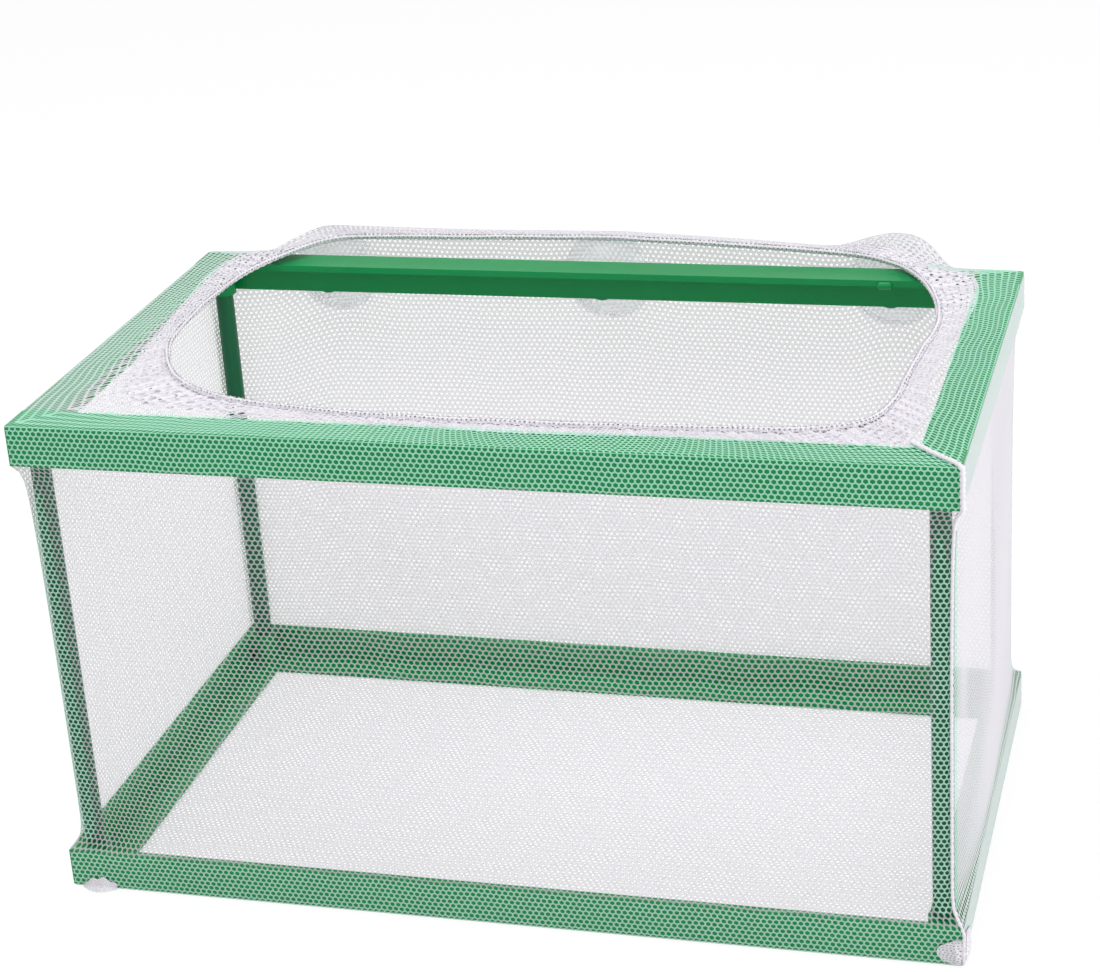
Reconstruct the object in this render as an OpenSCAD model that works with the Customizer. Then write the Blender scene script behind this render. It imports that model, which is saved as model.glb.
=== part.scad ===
// Fish breeding box: a clip-together plastic frame inside a net bag, with
// three suction cups behind its rear top rail. Millimetres, +Z up, -Y the
// front, origin in the middle of the face it stands on.

/* [Frame] */
// Width over the outer faces of the short rails
frame_w = 265; // [220:1:300]
// Depth over the outer faces of the long rails
frame_d = 154; // [130:1:180]
// Height over the top and bottom rails
frame_h = 148; // [110:1:170]
// Width of each leg of the angle that every rail is cut from
rail_leg = 12; // [11.5:0.5:14]
// Thickness of a rail's legs
rail_wall = 2; // [1.6:0.1:2.4]
// Rounding along a rail's outer edge
rail_edge_r = 0.8; // [0.3:0.1:1.2]
// Diameter of a corner post
post_dia = 5.8; // [5:0.1:6.4]
// From the frame's outer faces to the skin of a post
post_inset = 3.25; // [3:0.05:3.6]
// Wall of the sockets that hold a post
socket_wall = 1.2; // [0.8:0.1:1.4]

/* [Suction cups] */
// Diameter over a cup's rim
cup_dia = 29; // [26:1:33]
// From the rear rail's outer face to a cup's rim
cup_depth = 9.5; // [8:0.5:12]
// From the frame's side faces in to the axes of the outer cups
cup_inset = 40.5; // [36:0.5:60]
// From the top of the frame down to the cups' axes
cup_drop = 8; // [6.8:0.1:8.4]
// Diameter of the ring on the rail's outer face that holds a cup
ring_dia = 10; // [9.6:0.1:11]
// How far the ring stands out from the rail
ring_depth = 2.8; // [2.6:0.1:3.2]
// Diameter of the neck that stands in the ring
neck_dia = 6; // [5:0.1:6.2]
// Diameter of the head behind the ring's lip
head_dia = 7.4; // [7:0.1:7.8]
// Thickness of the head
head_len = 1.2; // [0.9:0.1:1.4]
// Diameter of a cup where its back meets the ring
boss_dia = 14; // [11:0.5:16]
// Depth of the hollow in a cup's face
cup_hollow = 3.2; // [2:0.1:4]
// Thickness of a cup's rim
cup_lip = 0.8; // [0.5:0.1:1.2]

/* [Net bag] */
// Thickness of the net
net_t = 0.4; // [0.3:0.05:0.6]
// Distance between gaps in a wall of the net
mesh_pitch = 30; // [26:1:40]
// Width of the strands between gaps
strand_w = 2.4; // [1.6:0.1:4]
// Distance between gaps in the turned-in rim
rim_pitch = 21; // [18:1:30]
// Diameter of a gap in the turned-in rim
rim_gap = 12; // [8:1:14]
// From the frame's front face to the hem of the mouth
mouth_front = 18; // [16:1:24]
// From the frame's side faces to the hem of the mouth
mouth_side = 19.5; // [17:0.5:26]
// How far the hem stands behind the frame's rear face
mouth_back = 6; // [0:0.5:6.5]
// How far the cups lift the hem above the frame at the rear
mouth_rise = 6; // [5.5:0.5:8]
// Corner radius of the mouth, front right
mouth_r_fr = 28; // [20:1:40]
// Corner radius of the mouth, rear right
mouth_r_rr = 30; // [20:1:40]
// Corner radius of the mouth, rear left
mouth_r_rl = 35; // [20:1:40]
// Corner radius of the mouth, front left
mouth_r_fl = 40; // [20:1:44]
// Diameter of the hem round the mouth
hem_dia = 2.4; // [2:0.1:3.2]
// Diameter of the elastic inside the hem
elastic_dia = 1.1; // [0.8:0.1:1.4]
// Diameter of the rolled seam at the front right corner
seam_dia = 2.2; // [1.6:0.1:3]

/* [Hidden] */

fit = 0.1;          // gap between moulded pieces that meet
play = 0.05;        // radial play of a post or a neck in its hole
clear = 0.5;        // gap between a cup and the net round it
over = 0.5;         // how far one shape of a union reaches into the next
cut = 1;            // how far a cutter reaches past what it cuts
$fn = 64;

half_w = frame_w / 2;
half_d = frame_d / 2;
floor_z = net_t;                    // the frame stands on the net's bottom
top_z = floor_z + frame_h;
mid_z = floor_z + frame_h / 2;
net_top_z = top_z + net_t;

post_r = post_dia / 2;
post_at = post_inset + post_r;      // from an outer face to a post's axis
socket_h = (rail_leg - rail_wall) / 2;
socket_r = post_r + play + socket_wall;
socket_reach = post_at - rail_wall; // from a post's axis to a leg's inner face

cup_r = cup_dia / 2;
cup_z = top_z - cup_drop;
cup_spread = half_w - cup_inset;    // from the middle cup to each outer cup
neck_r = neck_dia / 2;
band_y = half_d + cup_depth + clear;
band_r = cup_r + clear;
band_top_z = cup_z + band_r;

hem_r = hem_dia / 2;
hem_bore_r = elastic_dia / 2 + fit;
hem_seat = hem_r + fit;             // from the hem's line to the rim's edge
hem_z = top_z + net_t / 2;
rise_from = half_d * 0.3;           // where the hem starts to climb
mouth_x = half_w - mouth_side;
mouth_y0 = mouth_front - half_d;
mouth_y1 = half_d + mouth_back;
arc_steps = 6;                      // pieces of each corner of the mouth
long_steps = 14;                    // pieces of its front and of its back
short_steps = 8;                    // pieces of each side

seam_r = seam_dia / 2;
seam_off = seam_r + 0.2;            // from the bag's corner to the seam's line

// ---- general shapes ----

// A body through equal rings of points; closed joins the last to the first.
module loft(rings, closed = false) {
    n = len(rings);
    m = len(rings[0]);
    steps = closed ? n - 1 : n - 2;
    sides = [for (i = [0:steps], j = [0:m - 1])
        let (a = i * m + j, b = i * m + (j + 1) % m,
             c = ((i + 1) % n) * m + j, d = ((i + 1) % n) * m + (j + 1) % m)
        each [[a, b, d], [a, d, c]]];
    caps = closed ? [] : [[for (j = [m - 1:-1:0]) j], [for (j = [0:m - 1]) (n - 1) * m + j]];
    polyhedron([for (ring = rings) each ring], concat(sides, caps));
}

function unit(v) = v / norm(v);
function lerp(a, b, t) = a + (b - a) * t;

// Rings of a round tube along a path. Without a side, the path lies nearly flat.
function tube_rings(path, r, sides, closed = false, side = undef) =
    let (n = len(path))
    [for (i = [0:n - 1])
        let (before = path[closed ? (i + n - 1) % n : max(i - 1, 0)],
             after = path[closed ? (i + 1) % n : min(i + 1, n - 1)],
             t = unit(after - before),
             u = is_undef(side) ? unit(cross(t, [0, 0, 1])) : side,
             v = cross(u, t))
        [for (k = [0:sides - 1]) let (a = 360 * k / sides) path[i] + r * (cos(a) * u + sin(a) * v)]];

// ---- frame ----

// An angle with its outer corner at the origin and its legs along +X and +Y
module angle_section() {
    difference() {
        square(rail_leg);
        translate([rail_wall, rail_wall]) square(rail_leg);
        difference() {
            square(rail_edge_r);
            translate([rail_edge_r, rail_edge_r]) circle(rail_edge_r);
        }
    }
}

// A socket round a post's axis, backed by the leg that lies towards -Y.
// It stays clear of the other rail's leg, which lies towards +X.
module post_socket(height) {
    difference() {
        intersection() {
            union() {
                cylinder(r = socket_r, h = height);
                translate([-socket_r, -socket_reach - over, 0])
                    cube([2 * socket_r, socket_reach + over, height]);
            }
            translate([-socket_r - cut, -socket_reach - cut, 0])
                cube([socket_r + cut + socket_reach - fit, 2 * socket_reach + 2 * cut, height]);
        }
        translate([0, 0, -cut]) cylinder(r = post_r + play, h = height + 2 * cut);
    }
}

// A long rail as it lies at the bottom front
module long_rail() {
    translate([0, -half_d, floor_z]) {
        translate([-half_w, 0, 0]) rotate([90, 0, 90]) linear_extrude(frame_w) angle_section();
        for (side = [0, 1]) mirror([side, 0, 0])
            translate([half_w - post_at, post_at, rail_wall - over / 2])
                post_socket(socket_h + over / 2 - fit);
    }
}

// A short rail as it lies at the bottom left. Its flat leg stops at the long
// rails, and its eyes sit on their sockets, so the posts pin the corners.
module short_rail() {
    length = frame_d - 2 * rail_wall;
    flat_half = half_d - rail_leg;
    translate([-half_w, 0, floor_z]) {
        difference() {
            translate([0, length / 2, 0]) rotate([90, 0, 0]) linear_extrude(length) angle_section();
            for (side = [0, 1]) mirror([0, side, 0])
                translate([-cut, flat_half, -cut])
                    cube([rail_leg + 2 * cut, rail_leg, rail_wall + cut]);
        }
        // Swapping X and Y turns a long rail's socket into this rail's eye.
        for (side = [0, 1]) mirror([0, side, 0])
            translate([post_at, half_d - post_at, rail_wall + socket_h])
                mirror([1, -1, 0]) post_socket(socket_h);
    }
}

// Turns what stands at the bottom into the same piece at the top
module at_top() {
    translate([0, 0, 2 * mid_z]) mirror([0, 0, 1]) children();
}

module green() { color("MediumSeaGreen") children(); }

module top_rail_front() { green() at_top() long_rail(); }

// A ring in which a cup's head snaps behind a lip and turns
module cup_ring() {
    room = head_len + 2 * play;
    difference() {
        translate([0, 0, -over]) cylinder(d = ring_dia, h = over + ring_depth);
        cylinder(r = head_dia / 2 + fit, h = room);
        cylinder(r = neck_r + play, h = ring_depth + cut);
    }
}

// The rear top rail has a ring for each cup on its outer face, and a small
// moulded nub on the inner edge of its flat leg.
module top_rail_back() {
    nub_r = 1.2;
    nub_half = 1.2;
    nub_drop = 1.6;
    green() {
        at_top() mirror([0, 1, 0]) long_rail();
        for (x = cup_places()) translate([x, half_d, cup_z]) rotate([-90, 0, 0]) cup_ring();
        translate([cup_spread, half_d - rail_leg, top_z - nub_drop]) {
            for (x = [-nub_half, nub_half]) translate([x, 0, 0]) sphere(nub_r);
            translate([-nub_half, 0, 0]) rotate([0, 90, 0]) cylinder(r = nub_r, h = 2 * nub_half);
        }
    }
}

module top_rail_left() { green() at_top() short_rail(); }
module top_rail_right() { green() at_top() mirror([1, 0, 0]) short_rail(); }
module bottom_rail_front() { green() long_rail(); }
module bottom_rail_back() { green() mirror([0, 1, 0]) long_rail(); }
module bottom_rail_left() { green() short_rail(); }
module bottom_rail_right() { green() mirror([1, 0, 0]) short_rail(); }

// A post stands between the flat legs of the bottom and top rails.
module post(side_x, side_y) {
    color("SeaGreen")
        translate([side_x * (half_w - post_at), side_y * (half_d - post_at), floor_z + rail_wall])
            cylinder(r = post_r, h = frame_h - 2 * rail_wall);
}

module post_front_left() { post(-1, -1); }
module post_front_right() { post(1, -1); }
module post_back_left() { post(-1, 1); }
module post_back_right() { post(1, 1); }

// ---- suction cups ----

function cup_places() = [-cup_spread, 0, cup_spread];

// Half of a cup's section as [radius, distance behind the rail's outer face]
function cup_section() =
    let (steps = 8,
         boss_r = boss_dia / 2,
         back = ring_depth + play,
         shoulder = back + 0.7,
         neck_front = play + head_len,
         head_r = head_dia / 2,
         head_edge = head_len * 0.3)
    concat(
        [[0, play], [head_r - head_edge, play], [head_r, play + head_edge],
         [head_r, neck_front], [neck_r, neck_front], [neck_r, back], [boss_r * 0.8, back]],
        [for (i = [0:steps]) let (t = i / steps)
            [lerp(boss_r, cup_r, t), lerp(shoulder, cup_depth, pow(t, 1.25))]],
        [for (i = [0:steps]) let (t = i / steps)
            [(cup_r - cup_lip) * (1 - t), cup_depth - cup_hollow * (1 - pow(1 - t, 2))]]);

module suction_cup(x) {
    color([0.85, 0.9, 0.9, 0.5]) translate([x, half_d, cup_z])
        rotate([-90, 0, 0]) rotate_extrude() polygon(cup_section());
}

module suction_cup_left() { suction_cup(cup_places()[0]); }
module suction_cup_middle() { suction_cup(cup_places()[1]); }
module suction_cup_right() { suction_cup(cup_places()[2]); }

// ---- walls of the net bag ----

// Six-sided gaps in staggered rows, cut off by the sheet's edge strand.
// A strand crosses the middle, so the sheet is whole there.
module mesh_gaps(w, h) {
    r = (mesh_pitch - strand_w) / sqrt(3);
    row = mesh_pitch * sqrt(3) / 2;
    cols = ceil(w / mesh_pitch / 2);
    rows = ceil(h / row / 2);
    intersection() {
        square([w - 2 * strand_w, h - 2 * strand_w], center = true);
        for (j = [-rows:rows], i = [-cols - 1:cols])
            translate([(i + (j % 2 == 0 ? 0.5 : 1)) * mesh_pitch, j * row])
                rotate(30) circle(r, $fn = 6);
    }
}

module net_sheet(w, h) {
    linear_extrude(net_t) difference() {
        square([w, h], center = true);
        mesh_gaps(w, h);
    }
}

module white_net() { color([0.95, 0.95, 0.96]) children(); }

module net_bottom() { white_net() net_sheet(frame_w, frame_d); }

module net_front() {
    white_net() translate([0, -half_d, net_top_z / 2]) rotate([90, 0, 0])
        net_sheet(frame_w + 2 * net_t, net_top_z);
}

module net_side() {
    translate([half_w, 0, net_top_z / 2]) rotate([90, 0, 90]) net_sheet(frame_d, net_top_z);
}

module net_right() { white_net() net_side(); }
module net_left() { white_net() mirror([1, 0, 0]) net_side(); }

// Points round the band over the three cups, from the top of the left cup
// down, along and up to the top of the right cup, as [x, z]
band_steps = 12;
function band_end(side, from) =
    [for (i = [0:band_steps]) let (a = from + 180 * i / band_steps)
        [side * cup_spread + band_r * cos(a), cup_z + band_r * sin(a)]];
function band_outline() = concat(band_end(-1, 90), band_end(1, 270));

// The flat band of net that the cups' rims hold out behind the frame
module net_cup_band() {
    gaps = ceil(cup_spread / (1.6 * band_r));
    pitch = cup_spread / gaps;
    white_net() translate([0, band_y + net_t, 0]) rotate([90, 0, 0]) linear_extrude(net_t)
        difference() {
            polygon(band_outline());
            for (i = [-gaps:gaps]) translate([i * pitch, cup_z])
                rotate(30) circle((pitch - strand_w) / sqrt(3), $fn = 6);
        }
}

// The rear wall slopes from the bag's corners and bottom edge out to the band.
module net_back() {
    outline = band_outline();
    last = len(outline) - 1;
    function edge_x(i) = i <= band_steps ? -1 : 1;
    function edge_up(i) = i <= band_steps / 2 || i > last - band_steps / 2;
    rings = [for (i = [0:last])
        let (x = edge_x(i), z = edge_up(i) ? top_z : 0, z_out = edge_up(i) ? net_top_z : 0)
        [[outline[i][0], band_y + net_t, outline[i][1]],
         [x * (half_w + net_t), half_d + net_t, z_out],
         [x * half_w, half_d, z],
         [outline[i][0], band_y, outline[i][1]]]];
    gap_top = cup_z - band_r - strand_w;
    white_net() difference() {
        loft(rings);
        translate([0, band_y + cut, gap_top / 2]) rotate([90, 0, 0])
            linear_extrude(band_y - half_d + 2 * cut) mesh_gaps(frame_w - 2 * strand_w, gap_top);
    }
}

// ---- mouth of the bag ----

function climb(y) = mouth_rise * pow(max(0, (y - rise_from) / (mouth_y1 - rise_from)), 2);

// One corner of the mouth, d outside the hem's line; [cx, cy] is its centre
function mouth_corner(cx, cy, r, from, d) =
    [for (i = [0:arc_steps]) let (a = from + 90 * i / arc_steps)
        [cx + (r + d) * cos(a), cy + (r + d) * sin(a), hem_z + climb(cy + r * sin(a))]];
function corner_fr(d) = mouth_corner(mouth_x - mouth_r_fr, mouth_y0 + mouth_r_fr, mouth_r_fr, -90, d);
function corner_rr(d) = mouth_corner(mouth_x - mouth_r_rr, mouth_y1 - mouth_r_rr, mouth_r_rr, 0, d);
function corner_rl(d) = mouth_corner(mouth_r_rl - mouth_x, mouth_y1 - mouth_r_rl, mouth_r_rl, 90, d);
function corner_fl(d) = mouth_corner(mouth_r_fl - mouth_x, mouth_y0 + mouth_r_fl, mouth_r_fl, 180, d);

// The points between two corners, without its ends
function mouth_run(a, b, n) =
    [for (i = [1:n - 1]) let (p = lerp(a, b, i / n)) [p[0], p[1], hem_z + climb(p[1])]];
function end_of(list) = list[len(list) - 1];

function mouth_line(d) =
    let (fr = corner_fr(d), rr = corner_rr(d), rl = corner_rl(d), fl = corner_fl(d))
    concat(fr, mouth_run(end_of(fr), rr[0], short_steps), rr, mouth_run(end_of(rr), rl[0], long_steps),
           rl, mouth_run(end_of(rl), fl[0], short_steps), fl, mouth_run(end_of(fl), fr[0], long_steps));

// The part of the rim's inner edge from the middle of one corner to the next
function rim_edge(from, to, n) =
    let (h = arc_steps / 2)
    concat([for (i = [h:arc_steps]) from[i]], mouth_run(end_of(from), to[0], n),
           [for (i = [0:h]) to[i]]);

// A sheet of net between the rim's inner edge and an outer edge above it
module rim_sheet(inner, outer) {
    up = [0, 0, net_t];
    low = [for (p = inner) p - [0, 0, net_t / 2]];
    loft([for (i = [0:len(inner) - 1]) [low[i], outer[i], outer[i] + up, low[i] + up]]);
}

// Outer edge points on the line from a to b, one for each inner point
function along(inner, a, b, k) =
    let (first = inner[0][k], last = end_of(inner)[k])
    [for (p = inner) lerp(a, b, (p[k] - first) / (last - first))];

corner_high = [half_w, half_d, top_z];

module rim_gaps(length, x, y, turn) {
    n = floor((length / 2 - rail_leg) / rim_pitch);
    translate([x, y, top_z - mouth_rise]) rotate(turn) linear_extrude(3 * mouth_rise)
        for (i = [-n:n]) translate([i * rim_pitch, 0]) rotate(30) circle(rim_gap / 2, $fn = 6);
}

module net_rim_front() {
    edge = rim_edge(corner_fl(hem_seat), corner_fr(hem_seat), long_steps);
    outer = along(edge, [-half_w, -half_d, top_z], [half_w, -half_d, top_z], 0);
    white_net() difference() {
        rim_sheet(edge, outer);
        rim_gaps(2 * mouth_x - mouth_r_fl, 0, (mouth_y0 - half_d) / 2, 0);
    }
}

module net_rim_right() {
    edge = rim_edge(corner_fr(hem_seat), corner_rr(hem_seat), short_steps);
    outer = along(edge, [half_w, -half_d, top_z], corner_high, 1);
    white_net() difference() {
        rim_sheet(edge, outer);
        rim_gaps(frame_d, (mouth_x + half_w) / 2, 0, 90);
    }
}

module net_rim_left() {
    edge = rim_edge(corner_rl(hem_seat), corner_fl(hem_seat), short_steps);
    outer = along(edge, [-half_w, half_d, top_z], [-half_w, -half_d, top_z], 1);
    white_net() difference() {
        rim_sheet(edge, outer);
        rim_gaps(frame_d, -(mouth_x + half_w) / 2, 0, 90);
    }
}

// The rear of the rim climbs from the bag's corners over the three cups.
module net_rim_back() {
    edge = rim_edge(corner_rr(hem_seat), corner_rl(hem_seat), long_steps);
    line = along(edge, corner_high, [-half_w, half_d, top_z], 0);
    // The straight edge from a corner meets an outer cup a little outside its top.
    meet_x = cup_spread + 0.2 * band_r;
    function over_cups(p) =
        let (t = min(1, (half_w - abs(p[0])) / (half_w - meet_x)))
        [p[0], lerp(half_d, band_y + net_t, t), lerp(top_z, band_top_z + fit, t)];
    white_net() rim_sheet(edge, [for (p = line) over_cups(p)]);
}

module mouth_hem() {
    line = mouth_line(0);
    color("GhostWhite") difference() {
        loft(tube_rings(line, hem_r, 8, closed = true), closed = true);
        loft(tube_rings(line, hem_bore_r, 8, closed = true), closed = true);
    }
}

module mouth_elastic() {
    color("White") loft(tube_rings(mouth_line(0), elastic_dia / 2, 8, closed = true), closed = true);
}

// The seam that closes the bag, from the hem over the corner and down it
module corner_seam() {
    corner = [half_w + net_t, -half_d - net_t, net_top_z];
    start = corner_fr(hem_seat + hem_r)[arc_steps / 2];
    out = unit([corner[0] - start[0], corner[1] - start[1], 0]);
    side = cross([0, 0, 1], out);
    begin = [start[0], start[1], net_top_z + seam_off];
    bend = [for (a = [90:-15:0]) corner + seam_off * (cos(a) * out + sin(a) * [0, 0, 1])];
    foot = end_of(bend);
    path = concat([begin, lerp(begin, bend[0], 0.5)], bend, [[foot[0], foot[1], 0]]);
    color("White") loft(tube_rings(path, seam_r, 8, side = side));
}

top_rail_front();
top_rail_back();
top_rail_left();
top_rail_right();
bottom_rail_front();
bottom_rail_back();
bottom_rail_left();
bottom_rail_right();
post_front_left();
post_front_right();
post_back_left();
post_back_right();
suction_cup_left();
suction_cup_middle();
suction_cup_right();
net_front();
net_left();
net_right();
net_bottom();
net_back();
net_cup_band();
net_rim_front();
net_rim_left();
net_rim_right();
net_rim_back();
mouth_hem();
mouth_elastic();
corner_seam();
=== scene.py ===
import math

import bmesh
import bpy
import numpy as np
from mathutils import Matrix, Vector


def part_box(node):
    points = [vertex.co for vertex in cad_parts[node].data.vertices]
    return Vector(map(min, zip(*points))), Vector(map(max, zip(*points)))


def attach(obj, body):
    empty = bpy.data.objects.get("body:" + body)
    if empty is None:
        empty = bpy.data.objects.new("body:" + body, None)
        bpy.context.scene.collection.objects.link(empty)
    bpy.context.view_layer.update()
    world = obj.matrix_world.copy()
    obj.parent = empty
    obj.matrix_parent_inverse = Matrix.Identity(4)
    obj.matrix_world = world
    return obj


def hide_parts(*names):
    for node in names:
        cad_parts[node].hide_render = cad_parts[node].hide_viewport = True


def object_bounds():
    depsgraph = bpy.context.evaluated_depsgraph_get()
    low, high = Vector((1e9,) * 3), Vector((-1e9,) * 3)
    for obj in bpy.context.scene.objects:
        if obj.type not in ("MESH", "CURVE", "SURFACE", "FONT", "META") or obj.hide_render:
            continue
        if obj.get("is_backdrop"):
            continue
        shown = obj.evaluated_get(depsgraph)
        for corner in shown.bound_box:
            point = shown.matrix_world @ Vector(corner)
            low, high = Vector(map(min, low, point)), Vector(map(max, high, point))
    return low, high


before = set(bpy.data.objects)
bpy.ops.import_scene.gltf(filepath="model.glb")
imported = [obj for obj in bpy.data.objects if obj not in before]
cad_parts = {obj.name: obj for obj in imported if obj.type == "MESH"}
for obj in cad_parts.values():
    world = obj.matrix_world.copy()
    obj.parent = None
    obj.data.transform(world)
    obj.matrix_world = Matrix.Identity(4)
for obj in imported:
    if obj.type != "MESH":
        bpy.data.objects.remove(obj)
cad_box = [list(corner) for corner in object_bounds()]

# ---- camera ----
# A long lens stands above the box and to its right, turned a little to the
# left and rolled a few degrees. Its place was fitted to the frame's edges.
PHOTO_WIDTH = 1100
FOCAL_PIXELS = 2665.4
SENSOR_MM = 36
camera_data = bpy.data.cameras.new("camera")
camera_data.sensor_width = SENSOR_MM
camera_data.lens = FOCAL_PIXELS / PHOTO_WIDTH * SENSOR_MM
camera = bpy.data.objects.new("camera", camera_data)
bpy.context.scene.collection.objects.link(camera)
camera.matrix_world = (
    Matrix.Translation((0.2085, -0.6978, 0.4130))
    @ Matrix.Rotation(math.radians(16.53), 4, "Z")
    @ Matrix.Rotation(math.radians(90 - 23.0), 4, "X")
    @ Matrix.Rotation(math.radians(-3.92), 4, "Z")
)
bpy.context.scene.camera = camera
bpy.context.scene.view_settings.view_transform = "Standard"

# ---- studio ----
# A white sweep lit by a big soft box overhead and a weaker one in front. The
# floor keeps a share of its own light, so that the box's shadow shows on it.


def colour(code):
    """An sRGB hex code as the linear colour that Blender wants."""
    parts = [int(code[i : i + 2], 16) / 255 for i in (1, 3, 5)]
    return [p / 12.92 if p <= 0.04045 else ((p + 0.055) / 1.055) ** 2.4 for p in parts] + [1]


def node(tree, kind, settings=(), **links):
    """Adds a node. Settings are its properties or its inputs; a link's key is an input's name."""
    made = tree.nodes.new(kind)
    for key, value in dict(settings).items():
        if key in made.inputs:
            made.inputs[key].default_value = value
        else:
            setattr(made, key, value)
    for key, source in links.items():
        tree.links.new(source, made.inputs[key.replace("_", " ")])
    return made


def seen_straight(tree):
    """1 for rays from the camera, off a gloss or through something clear, else 0."""
    path = node(tree, "ShaderNodeLightPath")
    first = node(tree, "ShaderNodeMath", {"operation": "MAXIMUM"})
    tree.links.new(path.outputs["Is Camera Ray"], first.inputs[0])
    tree.links.new(path.outputs["Is Glossy Ray"], first.inputs[1])
    both = node(tree, "ShaderNodeMath", {"operation": "MAXIMUM"})
    tree.links.new(first.outputs[0], both.inputs[0])
    tree.links.new(path.outputs["Is Transmission Ray"], both.inputs[1])
    return both.outputs[0]


def finish_material(name):
    """An empty material and its tree."""
    made = bpy.data.materials.new(name)
    made.use_nodes = True
    made.node_tree.nodes.clear()
    return made, made.node_tree


WORLD_LIGHT = 0.4
world = bpy.data.worlds.new("studio")
bpy.context.scene.world = world
world.use_nodes = True
world.node_tree.nodes.clear()
strength = node(world.node_tree, "ShaderNodeMapRange", {"To Min": WORLD_LIGHT, "To Max": 1.0},
                Value=seen_straight(world.node_tree))
backdrop = node(world.node_tree, "ShaderNodeBackground", {"Color": (1, 1, 1, 1)},
                Strength=strength.outputs[0])
node(world.node_tree, "ShaderNodeOutputWorld", Surface=backdrop.outputs[0])

FLOOR_HALF = 1.6
FLOOR_OWN_LIGHT = 1.05
FLOOR_OWN_SHARE = 0.86
bm = bmesh.new()
bmesh.ops.create_grid(bm, x_segments=1, y_segments=1, size=FLOOR_HALF)
floor_mesh = bpy.data.meshes.new("floor")
bm.to_mesh(floor_mesh)
bm.free()
floor = bpy.data.objects.new("floor", floor_mesh)
bpy.context.scene.collection.objects.link(floor)
paper, tree = finish_material("white_paper_sweep")
share = node(tree, "ShaderNodeMapRange", {"To Min": 0.0, "To Max": FLOOR_OWN_SHARE},
             Value=seen_straight(tree))
lit = node(tree, "ShaderNodeBsdfDiffuse", {"Color": (0.9, 0.9, 0.9, 1)})
own = node(tree, "ShaderNodeEmission", {"Strength": FLOOR_OWN_LIGHT})
mixed = node(tree, "ShaderNodeMixShader", Fac=share.outputs[0])
tree.links.new(lit.outputs[0], mixed.inputs[1])
tree.links.new(own.outputs[0], mixed.inputs[2])
node(tree, "ShaderNodeOutputMaterial", Surface=mixed.outputs[0])
floor_mesh.materials.append(paper)
floor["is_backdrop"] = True

for name, place, aim, size, watts in (
    ("soft_box_above", (-0.25, -0.1, 1.3), (0, 0, 0), 1.2, 11),
    ("soft_box_front", (-0.5, -1.3, 0.7), (0, 0, 0.08), 0.9, 1.3),
    ("soft_box_right", (1.4, -0.3, 0.35), (0, 0, 0.08), 0.9, 11.5),
):
    lamp_data = bpy.data.lights.new(name, "AREA")
    lamp_data.size = size
    lamp_data.energy = watts
    lamp = bpy.data.objects.new(name, lamp_data)
    bpy.context.scene.collection.objects.link(lamp)
    lamp.location = place
    away = lamp.location - Matrix.Translation(aim).translation
    lamp.rotation_mode = "QUATERNION"
    lamp.rotation_quaternion = away.to_track_quat("Z", "Y")

# ---- rails ----
# Eight angle strips of injection-moulded polypropylene, pushed together at the
# corners. Moulding leaves a smooth skin with a soft sheen and faint flow marks.
RAIL_FLOW_MM = 18
RAIL_SKIN_MM = 0.8
SKIN_DEPTH = 0.00005     # metres

rail_plastic, tree = finish_material("moulded_polypropylene_green")
place = node(tree, "ShaderNodeTexCoord")
flow = node(tree, "ShaderNodeTexNoise", {"Scale": 1000 / RAIL_FLOW_MM, "Detail": 2.0},
            Vector=place.outputs["Object"])
tint = node(tree, "ShaderNodeMix", {"data_type": "RGBA"}, Factor=flow.outputs["Fac"])
tint.inputs["A"].default_value = colour("#048A48")
tint.inputs["B"].default_value = colour("#0A9852")
skin = node(tree, "ShaderNodeTexNoise", {"Scale": 1000 / RAIL_SKIN_MM, "Detail": 3.0},
            Vector=place.outputs["Object"])
sheen = node(tree, "ShaderNodeMapRange", {"To Min": 0.26, "To Max": 0.36}, Value=flow.outputs["Fac"])
relief = node(tree, "ShaderNodeBump", {"Strength": 0.08, "Distance": SKIN_DEPTH},
              Height=skin.outputs["Fac"])
gloss = node(tree, "ShaderNodeBsdfPrincipled", {"IOR": 1.49, "Specular IOR Level": 0.25},
             Base_Color=tint.outputs["Result"], Roughness=sheen.outputs[0], Normal=relief.outputs[0])
node(tree, "ShaderNodeOutputMaterial", Surface=gloss.outputs[0])


def dress(kind, material):
    """Gives a material to all the CAD's pieces of one kind."""
    for name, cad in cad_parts.items():
        if kind in name:
            cad.data.materials.clear()
            cad.data.materials.append(material)


dress("_rail_", rail_plastic)

# ---- posts ----
# Four extruded rods stand in the rails' sockets, coloured a darker green than the rails, which is
# painted shade: under the net they lie in shade. Extrusion leaves fine lines along them and a slightly
# duller skin.
POST_LINES_MM = 0.6
POST_LINES_DRAWN = 0.02  # a line's width as a share of its length

post_plastic, tree = finish_material("extruded_polypropylene_green_painted_shade")
place = node(tree, "ShaderNodeTexCoord")
drawn = node(tree, "ShaderNodeMapping", {"Scale": (1, 1, POST_LINES_DRAWN)},
             Vector=place.outputs["Object"])
lines = node(tree, "ShaderNodeTexNoise", {"Scale": 1000 / POST_LINES_MM, "Detail": 2.0},
             Vector=drawn.outputs[0])
tint = node(tree, "ShaderNodeMix", {"data_type": "RGBA"}, Factor=lines.outputs["Fac"])
# darker than the rails' green: painted shade on the posts
tint.inputs["A"].default_value = colour("#055C37")
tint.inputs["B"].default_value = colour("#0A6B43")
relief = node(tree, "ShaderNodeBump", {"Strength": 0.1, "Distance": SKIN_DEPTH},
              Height=lines.outputs["Fac"])
gloss = node(tree, "ShaderNodeBsdfPrincipled",
             {"IOR": 1.49, "Roughness": 0.38, "Specular IOR Level": 0.3},
             Base_Color=tint.outputs["Result"], Normal=relief.outputs[0])
node(tree, "ShaderNodeOutputMaterial", Surface=gloss.outputs[0])

dress("post_", post_plastic)

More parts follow.
